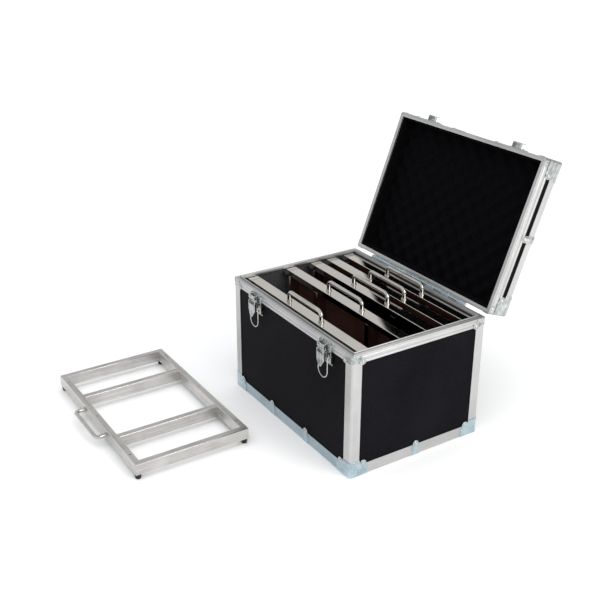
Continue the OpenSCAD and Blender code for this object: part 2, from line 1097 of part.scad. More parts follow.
// Screw holes through the back face of the long rails.
module board_holes(deep, r) {
    for (x = hole_x)
        for (s = [-1, 1])
            translate([x * rack_l / 376, rail_d / 2 - 3, s * (rack_s / 2 - rail_w / 2)])
                rotate([-90, 0, 0])
                    cylinder(r = r, h = deep);
}

module rack_handle() {
    ferrule_r = grip_r + 1.5;
    ferrule_h = 2.5;
    leg = grip_h - grip_bend;
    color(chrome)
        translate([0, 0, rack_s / 2]) {
            for (s = [-1, 1])
                translate([s * grip_l / 2, 0, 0]) {
                    cylinder(r = grip_r, h = leg);
                    cylinder(r = ferrule_r, h = ferrule_h);
                }
            for (s = [0, 1])
                rotate([0, 0, 180 * s])
                    translate([grip_l / 2 - grip_bend, 0, leg])
                        rotate([90, 0, 0])
                            rotate_extrude(angle = 90)
                                translate([grip_bend, 0])
                                    circle(r = grip_r);
            translate([-grip_l / 2 + grip_bend, 0, grip_h])
                rotate([0, 90, 0])
                    cylinder(r = grip_r, h = grip_l - 2 * grip_bend);
        }
}

module rack_feet() {
    color(rubber_black)
        for (sx = [-1, 1])
            for (sz = [-1, 1])
                translate([sx * (rack_l / 2 - foot_in), -rail_d / 2, sz * (rack_s / 2 - foot_in)])
                    rotate([90, 0, 0])
                        rotate_extrude()
                            polygon([
                                [0, 0],
                                [foot_r, 0],
                                [foot_r, foot_h * 0.3],
                                [foot_r * 0.85, foot_h * 0.85],
                                [foot_r * 0.7, foot_h],
                                [0, foot_h]]);
}

// Hardboard painting panel on the back of the rack, drilled for its screws.
module rack_board() {
    color(hardboard)
        difference() {
            translate([0, rail_d / 2 + board_gap / 2 + board_t / 2, 0])
                cube([rack_l - 8, board_t - board_gap, rack_s - 8], center = true);
            board_holes(rail_d, board_screw_r + run_gap);
        }
}

module rack_screws() {
    color(chrome)
        for (x = hole_x)
            for (s = [-1, 1])
                translate([x * rack_l / 376, 0, s * (rack_s / 2 - rail_w / 2)])
                    rotate([-90, 0, 0]) {
                        translate([0, 0, rail_d / 2 - 3.5])
                            cylinder(r = board_screw_r, h = 3.5 + board_t + board_gap);
                        translate([0, 0, rail_d / 2 + board_t])
                            cylinder(r = screw_head_r, h = screw_head_h);
                    }
}

case_floor();
case_front();
case_back();
case_left_end();
case_right_end();
case_lining();
rack_guides();
corner_posts();
bottom_rails();
case_rim();
case_corner_braces();
edge_clips();
case_rivets();
latch_plates();
pivot_pins();
hinge_lower_leaf();
lid_top_panel();
lid_side_panels();
lid_rim();
lid_edge_rails();
lid_corner_braces();
lid_clips();
lid_rivets();
lid_foam();
lid_catches();
hinge_upper_leaf();
carry_handle();
carry_handle_caps();
latch_lever_left();
latch_lever_right();
latch_loop_left();
latch_loop_right();
rack_place(1) rack_frame();  // rack_1_frame
rack_place(1) rack_handle();  // rack_1_handle
rack_place(1) rack_feet();  // rack_1_feet
rack_place(1) rack_board();  // rack_1_board
rack_place(1) rack_screws();  // rack_1_screws
rack_place(2) rack_frame();  // rack_2_frame
rack_place(2) rack_handle();  // rack_2_handle
rack_place(2) rack_feet();  // rack_2_feet
rack_place(3) rack_frame();  // rack_3_frame
rack_place(3) rack_handle();  // rack_3_handle
rack_place(3) rack_feet();  // rack_3_feet
rack_place(3) rack_board();  // rack_3_board
rack_place(3) rack_screws();  // rack_3_screws
rack_place(4) rack_frame();  // rack_4_frame
rack_place(4) rack_handle();  // rack_4_handle
rack_place(4) rack_feet();  // rack_4_feet
rack_place(4) rack_board();  // rack_4_board
rack_place(4) rack_screws();  // rack_4_screws
rack_place(5) rack_frame();  // rack_5_frame
rack_place(5) rack_handle();  // rack_5_handle
rack_place(5) rack_feet();  // rack_5_feet
rack_place(5) rack_board();  // rack_5_board
rack_place(5) rack_screws();  // rack_5_screws
rack_place(6) rack_frame();  // rack_6_frame
rack_place(6) rack_handle();  // rack_6_handle
rack_place(6) rack_feet();  // rack_6_feet
rack_place(6) rack_board();  // rack_6_board
rack_place(6) rack_screws();  // rack_6_screws
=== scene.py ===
import json
import math

import bmesh
import bpy
from mathutils import Matrix, Vector

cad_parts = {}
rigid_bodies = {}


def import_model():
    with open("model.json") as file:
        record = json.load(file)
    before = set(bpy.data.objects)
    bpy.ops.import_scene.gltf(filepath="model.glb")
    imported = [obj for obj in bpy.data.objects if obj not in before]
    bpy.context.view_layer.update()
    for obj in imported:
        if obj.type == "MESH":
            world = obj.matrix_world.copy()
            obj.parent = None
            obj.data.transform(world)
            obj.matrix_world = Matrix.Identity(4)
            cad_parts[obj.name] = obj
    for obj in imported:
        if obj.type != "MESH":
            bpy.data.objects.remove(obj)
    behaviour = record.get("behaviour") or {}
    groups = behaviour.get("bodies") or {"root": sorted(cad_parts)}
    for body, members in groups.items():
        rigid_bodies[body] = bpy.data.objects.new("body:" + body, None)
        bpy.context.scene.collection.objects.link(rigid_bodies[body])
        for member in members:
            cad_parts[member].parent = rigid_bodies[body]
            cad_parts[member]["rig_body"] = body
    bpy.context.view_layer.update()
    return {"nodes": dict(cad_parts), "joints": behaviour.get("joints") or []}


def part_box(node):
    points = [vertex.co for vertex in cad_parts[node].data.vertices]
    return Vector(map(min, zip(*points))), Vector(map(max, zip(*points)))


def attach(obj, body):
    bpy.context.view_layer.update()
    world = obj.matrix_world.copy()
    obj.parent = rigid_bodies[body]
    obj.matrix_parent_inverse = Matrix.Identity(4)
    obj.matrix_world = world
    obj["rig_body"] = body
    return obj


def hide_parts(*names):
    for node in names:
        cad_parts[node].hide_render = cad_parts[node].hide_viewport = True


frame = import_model()
nodes = frame["nodes"]
MM = 0.001


# ---------------------------------------------------------------- studio
# A seamless white table under broad soft lamps, as small goods are shown.
# The strongest lamp stands to the right of the case, so its end is lighter than its front.

def studio_lamp(name, spot, aim, size, power, colour):
    lamp = bpy.data.lights.new(name, "AREA")
    lamp.shape = "RECTANGLE"
    lamp.size, lamp.size_y = size
    lamp.energy = power
    lamp.color = colour
    stand = bpy.data.objects.new(name, lamp)
    stand.location = spot
    stand.rotation_mode = "QUATERNION"
    stand.rotation_quaternion = (Vector(aim) - Vector(spot)).to_track_quat("-Z", "Y")
    bpy.context.scene.collection.objects.link(stand)


studio_lamp("right_softbox", (2.3, 0.5, 1.5), (0, 0, 0.2), (1.6, 1.8), 36, (1.0, 0.985, 0.96))
studio_lamp("front_softbox", (-0.6, -2.5, 1.5), (0, 0, 0.15), (2.0, 1.4), 1.5, (0.70, 0.88, 1.0))

skylight = bpy.data.lights.new("skylight", "SUN")
skylight.energy = 1.3
skylight.angle = 1.3
skylight_stand = bpy.data.objects.new("skylight", skylight)
skylight_stand.rotation_euler = (0.15, 0.1, 0)
skylight_stand.visible_glossy = False
bpy.context.scene.collection.objects.link(skylight_stand)

sky = bpy.data.worlds.new("studio_walls")
sky.use_nodes = True
walls = sky.node_tree.nodes["Background"]
walls.inputs["Color"].default_value = (0.97, 0.985, 1.0, 1)
walls.inputs["Strength"].default_value = 0.74
bpy.context.scene.world = sky
bpy.context.scene.view_settings.view_transform = "Standard"

table_mesh = bpy.data.meshes.new("white_table")
table_mesh.from_pydata([(-9, -9, 0), (9, -9, 0), (9, 9, 0), (-9, 9, 0)], [], [(0, 1, 2, 3)])
table = bpy.data.objects.new("white_table", table_mesh)
bpy.context.scene.collection.objects.link(table)
table.location.z = -0.0002
table_paint = bpy.data.materials.new("white_table_paint")
table_paint.use_nodes = True
table_shader = table_paint.node_tree.nodes["Principled BSDF"]
table_shader.inputs["Base Color"].default_value = (0.93, 0.93, 0.93, 1)
table_shader.inputs["Roughness"].default_value = 0.9
table_shader.inputs["Specular IOR Level"].default_value = 0.1
table_mesh.materials.append(table_paint)

lens = bpy.data.cameras.new("camera")
lens.sensor_width = 36
lens.lens = 57.04
lens.clip_start, lens.clip_end = 0.05, 50
camera = bpy.data.objects.new("camera", lens)
bpy.context.scene.collection.objects.link(camera)
bpy.context.scene.camera = camera
heading, dip, roll = math.radians(-57.4462), math.radians(24.4041), math.radians(-0.1414)
ahead = Vector((math.sin(heading) * math.cos(dip), math.cos(heading) * math.cos(dip), -math.sin(dip)))
level = Vector((math.cos(heading), -math.sin(heading), 0))
plumb = ahead.cross(level)
right = level * math.cos(roll) + plumb * math.sin(roll)
down = plumb * math.cos(roll) - level * math.sin(roll)
camera.matrix_world = Matrix.Translation((1.3139, -0.9589, 0.9665)) @ Matrix(
    (right, -down, -ahead)).transposed().to_4x4()


# ---------------------------------------------------------------- walls and floor of the case
# Five plywood panels faced with hard black laminate, pressed with a fine linen texture.
# The edges are hidden in the extrusions, so only the faces show.

def new_finish(name, colour, rough, metal=0.0, specular=0.5):
    finish = bpy.data.materials.new(name)
    finish.use_nodes = True
    shader = finish.node_tree.nodes["Principled BSDF"]
    shader.inputs["Base Color"].default_value = (*colour, 1)
    shader.inputs["Roughness"].default_value = rough
    shader.inputs["Metallic"].default_value = metal
    shader.inputs["Specular IOR Level"].default_value = specular
    return finish, shader


def new_node(finish, kind, values=None, **settings):
    made = finish.node_tree.nodes.new(kind)
    for key, value in settings.items():
        setattr(made, key, value)
    for key, value in (values or {}).items():
        if hasattr(value, "is_output"):
            finish.node_tree.links.new(value, made.inputs[key])
        else:
            made.inputs[key].default_value = value
    return made


def spots(finish, per_metre, detail=3.0, grain=False):
    """Noise with that many features per metre along each axis, or along and across a bar."""
    if grain:
        source = new_node(finish, "ShaderNodeAttribute", attribute_name="grain").outputs["Vector"]
    else:
        source = new_node(finish, "ShaderNodeTexCoord").outputs["Object"]
    stretch = new_node(finish, "ShaderNodeMapping", {"Vector": source, "Scale": per_metre})
    return new_node(finish, "ShaderNodeTexNoise", {
        "Vector": stretch.outputs["Vector"], "Scale": 1.0, "Detail": detail}).outputs["Fac"]


def spread(finish, fac, low, high, to_low, to_high):
    return new_node(finish, "ShaderNodeMapRange", {
        "Value": fac, "From Min": low, "From Max": high,
        "To Min": to_low, "To Max": to_high}).outputs["Result"]


def shades(finish, fac, dark, light):
    mixed = new_node(finish, "ShaderNodeMix", {"Factor": fac}, data_type="RGBA")
    mixed.inputs[6].default_value = (*dark, 1)
    mixed.inputs[7].default_value = (*light, 1)
    return mixed.outputs[2]


def sum_of(finish, parts):
    total = None
    for fac, weight in parts:
        scaled = new_node(finish, "ShaderNodeMath", {0: fac, 1: weight}, operation="MULTIPLY").outputs[0]
        if total is not None:
            scaled = new_node(finish, "ShaderNodeMath", {0: total, 1: scaled}, operation="ADD").outputs[0]
        total = scaled
    return total


def relief(finish, shader, height, depth, strength=1.0):
    bump = new_node(finish, "ShaderNodeBump", {
        "Height": height, "Distance": depth, "Strength": strength})
    finish.node_tree.links.new(bump.outputs["Normal"], shader.inputs["Normal"])


def drive(finish, shader, name, socket):
    finish.node_tree.links.new(socket, shader.inputs[name])


def laminate_sheet(name, dark, light):
    finish, shader = new_finish(name, light, 0.5, specular=0.02)
    threads = [(spots(finish, stretch, 1.0), 0.33)
               for stretch in ((900, 120, 900), (120, 900, 120), (900, 900, 120))]
    pebble = spots(finish, (520, 520, 520), 2.0)
    cloud = spots(finish, (9, 9, 9), 4.0)
    relief(finish, shader, sum_of(finish, threads + [(pebble, 0.6)]), 0.00025, 0.6)
    tone = spread(finish, sum_of(finish, [(pebble, 0.6), (cloud, 0.4)]), 0.35, 0.65, 0, 1)
    drive(finish, shader, "Base Color", shades(finish, tone, dark, light))
    drive(finish, shader, "Roughness", spread(finish, cloud, 0.3, 0.7, 0.38, 0.52))
    return finish


laminate = laminate_sheet("black_laminate", (0.0026, 0.0025, 0.0036), (0.0100, 0.0098, 0.0125))


def coat(node, finish):
    mesh = nodes[node].data
    mesh.materials.clear()
    mesh.materials.append(finish)


for panel in ("case_floor", "case_front", "case_back", "case_left_end", "case_right_end"):
    coat(panel, laminate)


# ---------------------------------------------------------------- lining and rack ribs
# Dark grey needled cloth is glued to the inside of the walls and the floor.
# Five flat aluminium strips on the floor keep the bottom tubes of the racks in their places.

felt, felt_shader = new_finish("grey_needle_cloth", (0.030, 0.031, 0.034), 0.95, specular=0.2)
fibres = sum_of(felt, [(spots(felt, (1400, 1400, 1400), 3.0), 0.6), (spots(felt, (260, 260, 260), 3.0), 0.4)])
relief(felt, felt_shader, fibres, 0.0006, 0.9)
drive(felt, felt_shader, "Base Color", shades(
    felt, spread(felt, fibres, 0.35, 0.65, 0, 1), (0.014, 0.014, 0.016), (0.055, 0.056, 0.060)))
felt_shader.inputs["Sheen Weight"].default_value = 0.35
felt_shader.inputs["Sheen Roughness"].default_value = 0.5
coat("case_lining", felt)


# ---------------------------------------------------------------- aluminium edges
# Angles of drawn aluminium cover every edge: posts at the corners, rails round the bottom,
# rails round the top of the lid. They are satin, with die lines along their length. The two
# long bottom rails are separate bars in a bluer copy of the satin finish, which is painted shade.

lid_hinge = next(j for j in frame["joints"] if j["name"] == "lid_hinge")
hinge_spot = Vector(lid_hinge["pos_m"])
shut_lid = (Matrix.Translation(hinge_spot)
            @ Matrix.Rotation(math.radians(lid_hinge["range_deg"][0]), 4, Vector(lid_hinge["axis"]))
            @ Matrix.Translation(-hinge_spot))
open_lid = shut_lid.inverted()


def separate_bars(mesh):
    """Lists the points of each loose bar or fitting in a mesh."""
    parent = list(range(len(mesh.vertices)))

    def root(i):
        while parent[i] != i:
            parent[i] = parent[parent[i]]
            i = parent[i]
        return i

    for edge in mesh.edges:
        a, b = root(edge.vertices[0]), root(edge.vertices[1])
        if a != b:
            parent[a] = b
    bars = {}
    for i in range(len(parent)):
        bars.setdefault(root(i), []).append(i)
    return [bars[k] for k in sorted(bars, key=lambda k: min(bars[k]))]


def spans(points):
    low = Vector([min(p[k] for p in points) for k in range(3)])
    high = Vector([max(p[k] for p in points) for k in range(3)])
    return low, high


def lay_grain(mesh, on_lid=False):
    """Gives each point its place along and across its own bar, for lines that follow the metal."""
    turn = shut_lid if on_lid else Matrix.Identity(4)
    at = [turn @ v.co for v in mesh.vertices]
    grain = mesh.attributes.new("grain", "FLOAT_VECTOR", "POINT")
    for count, bar in enumerate(separate_bars(mesh)):
        low, high = spans([at[i] for i in bar])
        order = sorted(range(3), key=lambda k: low[k] - high[k])
        for i in bar:
            grain.data[i].vector = (at[i][order[0]] + 0.731 * count, at[i][order[1]], at[i][order[2]])


def clean_copy(node):
    """The node's shape with its triangles joined into whole faces."""
    form = bmesh.new()
    form.from_mesh(nodes[node].data)
    bmesh.ops.remove_doubles(form, verts=form.verts, dist=3e-6)
    bmesh.ops.dissolve_limit(form, angle_limit=math.radians(0.6), verts=form.verts, edges=form.edges)
    return form


def ease_edges(form, width, steps=2, sharper=33, keep=None):
    """Rounds the sharp edges a little, and marks the rounded faces as worn."""
    sharp = [e for e in form.edges if len(e.link_faces) == 2
             and e.calc_face_angle(0) > math.radians(sharper) and (keep is None or keep(e))]
    worn = form.faces.layers.float.new("worn")
    made = bmesh.ops.bevel(form, geom=sharp, offset=width, segments=steps, profile=0.5,
                           affect="EDGES", clamp_overlap=False)
    for face in made["faces"]:
        face[worn] = 1.0


def to_mesh(form, name):
    mesh = bpy.data.meshes.new(name)
    for face in form.faces:
        face.smooth = True
    form.to_mesh(mesh)
    form.free()
    return mesh


def fit(name, mesh, finish, *stands_for):
    """Puts a finished piece where its CAD nodes are, on the same body."""
    mesh.materials.clear()
    mesh.materials.append(finish)
    piece = bpy.data.objects.new(name, mesh)
    bpy.context.scene.collection.objects.link(piece)
    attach(piece, nodes[stands_for[0]]["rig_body"])
    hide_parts(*stands_for)
    return piece


def even_shading(piece):
    flat = piece.modifiers.new("even_shading", "WEIGHTED_NORMAL")
    flat.keep_sharp = True
    flat.weight = 100
    return piece


def eased(node, finish, width, steps=2, on_lid=False, sharper=33, keep=None):
    form = clean_copy(node)
    ease_edges(form, width, steps, sharper, keep)
    mesh = to_mesh(form, node.replace("_", "-"))
    lay_grain(mesh, on_lid)
    return even_shading(fit(node.replace("_", "-"), mesh, finish, node))


def recoat(piece, finish, chosen):
    """Gives the chosen whole bars or pressings of a node another finish."""
    mesh = piece.data
    mesh.materials.append(finish)
    of_bar = {}
    for bar in separate_bars(mesh):
        low, high = spans([mesh.vertices[i].co for i in bar])
        of_bar.update(dict.fromkeys(bar, chosen(low, high)))
    for face in mesh.polygons:
        if of_bar[face.vertices[0]]:
            face.material_index = len(mesh.materials) - 1


def metal(name, dark, light, rough, streak, mottle, scratch_depth):
    """Metal with lines along the bar, cloudy patches and brighter eased edges."""
    finish, shader = new_finish(name, light, rough[0], metal=1.0)
    lines = spots(finish, (6, streak, streak), 3.0, grain=True)
    fine = spots(finish, (22, streak * 3.5, streak * 3.5), 2.0, grain=True)
    patches = spots(finish, (mottle, mottle, mottle), 4.0)
    worn = new_node(finish, "ShaderNodeAttribute", attribute_name="worn").outputs["Fac"]
    tone = sum_of(finish, [(lines, 0.35), (fine, 0.25), (patches, 0.4), (worn, 0.22)])
    drive(finish, shader, "Base Color", shades(finish, spread(finish, tone, 0.36, 0.66, 0, 1), dark, light))
    drive(finish, shader, "Roughness", spread(
        finish, sum_of(finish, [(lines, 0.4), (patches, 0.6), (worn, -0.12)]), 0.3, 0.7, *rough))
    relief(finish, shader, sum_of(finish, [(lines, 0.5), (fine, 0.5)]), scratch_depth, 0.5)
    return finish


aluminium = metal("satin_aluminium", (0.46, 0.46, 0.46), (0.63, 0.625, 0.615), (0.34, 0.48), 900, 14, 0.00006)
# A bluer copy of the satin aluminium: painted shade for the long bottom rails.
painted_shade_aluminium = metal("aluminium_painted_blue_shade", (0.33, 0.41, 0.45), (0.54, 0.64, 0.68), (0.30, 0.44), 900, 30, 0.00006)

eased("corner_posts", aluminium, 0.45 * MM)
rails = eased("bottom_rails", aluminium, 0.45 * MM)
# The long bottom rails take the bluer copy, which is painted shade.
recoat(rails, painted_shade_aluminium, lambda low, high: high.x - low.x > high.y - low.y)
eased("rack_guides", aluminium, 0.5 * MM)
eased("lid_edge_rails", aluminium, 0.45 * MM, on_lid=True)


# ---------------------------------------------------------------- rims of case and lid
# Two mating channels are rolled over the walls and mitred at the corners. The case's rim has
# a tongue that stands up inside the lid's rim when the case is shut.

def rim_band(name, profile, half_x, half_y, corner, turn):
    form = bmesh.new()
    rings = []
    for inward, height in profile:
        bend = max(corner - inward, 0.7 * MM)
        reach_x, reach_y = half_x - inward - bend, half_y - inward - bend
        ring = []
        for quarter, (sx, sy) in enumerate(((1, 1), (-1, 1), (-1, -1), (1, -1))):
            for step in range(7):
                a = math.pi / 2 * (quarter + step / 6)
                spot = Vector((sx * reach_x + bend * math.cos(a), sy * reach_y + bend * math.sin(a), height))
                ring.append(form.verts.new(turn @ spot))
        rings.append(ring)
    for k, ring in enumerate(rings):
        above = rings[(k + 1) % len(rings)]
        for i in range(len(ring)):
            j = (i + 1) % len(ring)
            form.faces.new((ring[i], ring[j], above[j], above[i]))
    bmesh.ops.recalc_face_normals(form, faces=form.faces)
    return to_mesh(form, name)


def bar_grain(mesh, half_x, half_y, turn):
    """Along and across a rim, one side at a time."""
    grain = mesh.attributes.new("grain", "FLOAT_VECTOR", "POINT")
    back = turn.inverted()
    for i, v in enumerate(mesh.vertices):
        spot = back @ v.co
        on_long = half_y - abs(spot.y) < half_x - abs(spot.x)
        along, across = (spot.x, spot.y) if on_long else (spot.y + 2, spot.x)
        grain.data[i].vector = (along, across, spot.z)


case_low, case_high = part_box("case_rim")
half_x, half_y = case_high.x, case_high.y
tongue_height = 2.5 * MM
rim_top = case_high.z - tongue_height
case_corner = 4 * MM
case_rim_profile = [(n * MM, rim_top + z * MM) for n, z in (
    (0, -16), (0, -12.4), (0.3, -12.1), (0.3, -11.6), (0, -11.3), (0, -4.4), (0.35, -4.1), (0.35, -3.4),
    (0, -3.1), (0, -0.7), (0.2, -0.2), (0.7, 0), (2.6, 0), (2.8, -0.35), (3.5, -0.35), (3.7, 0),
    (7.0, 0), (7.2, -0.2), (7.2, -1.1), (8.5, -1.1), (8.5, 2.0), (8.7, 2.35), (9.1, 2.5), (9.4, 2.5),
    (9.8, 2.35), (10, 2.0), (10, -4), (8.5, -4), (8.5, -1.5), (1.5, -1.5), (1.5, -16))]
case_rim_mesh = rim_band("case-rim", case_rim_profile, half_x, half_y, case_corner, Matrix.Identity(4))
bar_grain(case_rim_mesh, half_x, half_y, Matrix.Identity(4))
case_rim_mesh.set_sharp_from_angle(angle=math.radians(50))
fit("case-rim", case_rim_mesh, aluminium, "case_rim")

seam_gap = 0.4 * MM
seam = rim_top + seam_gap
lid_rim_profile = [(n * MM, seam + z * MM) for n, z in (
    (0, 20), (0, 16.2), (0.3, 15.9), (0.3, 15.4), (0, 15.1), (0, 5.4), (0.35, 5.1), (0.35, 4.4), (0, 4.1),
    (0, 0.7), (0.2, 0.2), (0.7, 0), (1.9, 0), (2.1, 0.45), (3.1, 0.45), (3.3, 0), (6.6, 0), (7.1, 0.15),
    (7.4, 0.5), (7.5, 1.0), (7.5, 4), (6, 4), (6, 1.5), (1.5, 1.5), (1.5, 20))]
lid_rim_mesh = rim_band("lid-rim", lid_rim_profile, half_x, half_y, case_corner, open_lid)
bar_grain(lid_rim_mesh, half_x, half_y, open_lid)
lid_rim_mesh.set_sharp_from_angle(angle=math.radians(50))
fit("lid-rim", lid_rim_mesh, aluminium, "lid_rim")


# ---------------------------------------------------------------- corner braces and edge clips
# Pressed from thin sheet steel and zinc plated, grey at the rims; the bluer zinc round the bottom is painted
# shade.
# They are bent round the corners and over the rails, and each lug is held by a rivet.

# The bluer tint of this zinc is painted shade; it goes on the lower braces, the edge clips and the hinge.
zinc = metal("zinc_painted_blue_shade", (0.31, 0.41, 0.46), (0.60, 0.69, 0.73), (0.20, 0.36), 260, 45, 0.00005)
grey_zinc = metal("grey_zinc_plate", (0.15, 0.165, 0.165), (0.68, 0.71, 0.70), (0.14, 0.32),
                  260, 110, 0.00005)

braces = eased("case_corner_braces", zinc, 0.35 * MM, sharper=50)
# The rim braces take the grey zinc; the lower braces keep the bluer zinc, which is painted shade.
recoat(braces, grey_zinc, lambda low, high: low.z > 150 * MM)
eased("edge_clips", zinc, 0.35 * MM, sharper=50)
for pressing in ("lid_corner_braces", "lid_clips"):
    eased(pressing, grey_zinc, 0.35 * MM, on_lid=True, sharper=50)


# ---------------------------------------------------------------- rivets
# Nickel-plated tubular rivets with domed heads. The dimple in the head's middle is left by
# the setting tool.

nickel = metal("bright_nickel", (0.44, 0.425, 0.40), (0.69, 0.67, 0.635), (0.10, 0.20), 500, 60, 0.00002)


def turned(form, profile, place, around=20):
    """Turns a profile of (radius, height) about the Z axis of place."""
    rings = []
    for radius, height in profile:
        if radius < 1e-7:
            rings.append([form.verts.new(place @ Vector((0, 0, height)))])
        else:
            rings.append([form.verts.new(place @ Vector((
                radius * math.cos(2 * math.pi * i / around),
                radius * math.sin(2 * math.pi * i / around), height))) for i in range(around)])
    for low, high in zip(rings, rings[1:]):
        for i in range(around):
            j = (i + 1) % around
            if len(low) == 1:
                form.faces.new((low[0], high[i], high[j]))
            elif len(high) == 1:
                form.faces.new((low[j], low[i], high[0]))
            else:
                form.faces.new((low[j], low[i], high[i], high[j]))


def aim_z(direction):
    return direction.to_track_quat("Z", "Y").to_matrix().to_4x4()


def fixings(node, on_lid=False):
    """For each rivet or screw in the node: a frame at the end of its head, and its length."""
    mesh = clean_copy(node)
    shape = to_mesh(mesh, "measure")
    turn = shut_lid if on_lid else Matrix.Identity(4)
    found = []
    for bar in separate_bars(shape):
        low, high = spans([turn @ shape.vertices[i].co for i in bar])
        size = high - low
        axis = max(range(3), key=lambda k: size[k])
        middle = (low + high) / 2
        out = Vector((0, 0, 0))
        out[axis] = 1 if middle[axis] > 0 else -1
        tip = middle + out * size[axis] / 2
        found.append((tip, out, size[axis]))
    bpy.data.meshes.remove(shape)
    return found


def rivet_set(node, on_lid=False):
    form = bmesh.new()
    turn = open_lid if on_lid else Matrix.Identity(4)
    for tip, out, length in fixings(node, on_lid):
        place = turn @ Matrix.Translation(tip) @ aim_z(out)
        turned(form, [(r * MM, h * MM) for r, h in (
            (0, -length / MM), (1.6, -length / MM), (1.6, -1.12), (3.25, -1.12), (3.4, -1.0), (3.38, -0.8),
            (3.0, -0.42), (2.4, -0.14), (1.7, 0), (1.35, -0.02), (1.1, -0.2), (0.8, -0.6), (0, -0.7))], place)
    mesh = to_mesh(form, node.replace("_", "-"))
    mesh.set_sharp_from_angle(angle=math.radians(55))
    lay_grain(mesh, on_lid)
    fit(node.replace("_", "-"), mesh, nickel, node)


rivet_set("case_rivets")
rivet_set("lid_rivets", on_lid=True)


# ---------------------------------------------------------------- draw latches
# Each latch has a pressed base plate, a lever that turns on a pin between two ears, and a
# spring-wire loop that hooks over the catch on the lid and is drawn down by the lever.

for pressing in ("latch_plates", "latch_lever_left", "latch_lever_right"):
    eased(pressing, grey_zinc, 0.28 * MM, sharper=50)
eased("lid_catches", grey_zinc, 0.28 * MM, on_lid=True, sharper=50)
eased("pivot_pins", nickel, 0.15 * MM, sharper=60)


def rod(form, path, radius, around=14, cap=True):
    """A round bar along a path, closed at both ends."""
    rings = []
    side = None
    for k, spot in enumerate(path):
        ahead_of = path[min(k + 1, len(path) - 1)] - path[max(k - 1, 0)]
        ahead_of.normalize()
        if side is None:
            side = ahead_of.orthogonal().normalized()
        side = (side - ahead_of * side.dot(ahead_of)).normalized()
        other = ahead_of.cross(side)
        rings.append([form.verts.new(spot + (side * math.cos(t) + other * math.sin(t)) * radius)
                      for t in (2 * math.pi * i / around for i in range(around))])
    for low, high in zip(rings, rings[1:]):
        for i in range(around):
            j = (i + 1) % around
            form.faces.new((low[i], low[j], high[j], high[i]))
    if cap:
        form.faces.new(list(reversed(rings[0])))
        form.faces.new(rings[-1])


def arc(centre, first, second, radius, start, stop, steps):
    """Points on an arc in the plane of two directions."""
    return [centre + (first * math.cos(a) + second * math.sin(a)) * radius
            for a in (start + (stop - start) * k / steps for k in range(steps + 1))]


for hand in ("left", "right"):
    node = "latch_loop_" + hand
    low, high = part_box(node)
    wire = (high.y - low.y) / 2
    middle = (low.x + high.x) / 2
    half = (high.x - low.x) / 2 - wire
    depth = (low.y + high.y) / 2
    top = high.z - wire
    bow = low.z + wire + half
    across, up = Vector((1, 0, 0)), Vector((0, 0, 1))
    bend = 1.6 * MM
    pivot_end = 10.7 * MM
    path = [Vector((middle - pivot_end, depth, top))]
    path += arc(Vector((middle - half + bend, depth, top - bend)), across, up, bend, math.pi / 2, math.pi, 6)
    path += arc(Vector((middle, depth, bow)), across, up, half, math.pi, 2 * math.pi, 24)
    path += arc(Vector((middle + half - bend, depth, top - bend)), across, up, bend, 0, math.pi / 2, 6)
    path.append(Vector((middle + pivot_end, depth, top)))
    form = bmesh.new()
    rod(form, path, wire)
    mesh = to_mesh(form, "latch-loop-" + hand)
    mesh.set_sharp_from_angle(angle=math.radians(60))
    lay_grain(mesh)
    fit("latch-loop-" + hand, mesh, nickel, node)


# ---------------------------------------------------------------- hinge
# One long steel hinge joins the back of the case to the lid. Its two leaves are rolled into
# thirteen knuckles round a plain pin, and each leaf is riveted through the walls.

eased("hinge_lower_leaf", zinc, 0.2 * MM, sharper=50)
eased("hinge_upper_leaf", zinc, 0.2 * MM, on_lid=True, sharper=50)


# ---------------------------------------------------------------- rack frames
# Rectangles of steel tube, mitred, welded and ground at the corners, with two cross bars.
# The five that stand in the case are polished, and the loose one is brushed.

polished = metal("polished_steel", (0.58, 0.55, 0.51), (0.72, 0.68, 0.625), (0.05, 0.10), 700, 12, 0.000008)
brushed = metal("brushed_steel", (0.39, 0.375, 0.36), (0.72, 0.70, 0.675), (0.22, 0.38), 620, 16, 0.00012)


def along_the_tube(edge):
    way = (edge.verts[1].co - edge.verts[0].co)
    return max(abs(way.x), abs(way.y), abs(way.z)) > 0.999 * way.length and way.length > 30 * MM


for number in range(1, 7):
    eased(f"rack_{number}_frame", brushed if number == 2 else polished, 0.9 * MM, steps=3,
          sharper=60, keep=along_the_tube)


# ---------------------------------------------------------------- rack handles
# Bow handles of bright round bar, bent over at both ends and screwed to the top tube from
# inside. A small collar sits under each leg.

for number in range(1, 7):
    node = f"rack_{number}_handle"
    low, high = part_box(node)
    upright = number != 2
    up = Vector((0, 0, 1)) if upright else Vector((0, -1, 0))
    across = Vector((1, 0, 0))
    centre = (low + high) / 2
    foot = centre - up * ((high - low).dot(Vector([abs(c) for c in up])) / 2)
    leg, bend, radius, collar = 10.2 * MM, 9 * MM, 3.9 * MM, 5.4 * MM
    half = (high.x - low.x) / 2 - collar
    path = [foot - across * half + up * t for t in (0, leg * 0.5)]
    path += arc(foot - across * (half - bend) + up * leg, across, up, bend, math.pi, math.pi / 2, 10)
    path += arc(foot + across * (half - bend) + up * leg, across, up, bend, math.pi / 2, 0, 10)
    path += [foot + across * half + up * t for t in (leg * 0.5, 0)]
    form = bmesh.new()
    rod(form, path, radius, around=24)
    for side in (-1, 1):
        place = Matrix.Translation(foot + across * half * side) @ aim_z(up)
        turned(form, [(r * MM, h * MM) for r, h in (
            (0, 0), (5.4, 0), (5.4, 1.7), (5.1, 2.2), (4.5, 2.5), (0, 2.5))], place, around=28)
    mesh = to_mesh(form, node.replace("_", "-"))
    mesh.set_sharp_from_angle(angle=math.radians(50))
    lay_grain(mesh)
    fit(node.replace("_", "-"), mesh, nickel, node)


# ---------------------------------------------------------------- rack feet
# Moulded black rubber buttons, tapered, each with a sunk washer and screw in the middle.

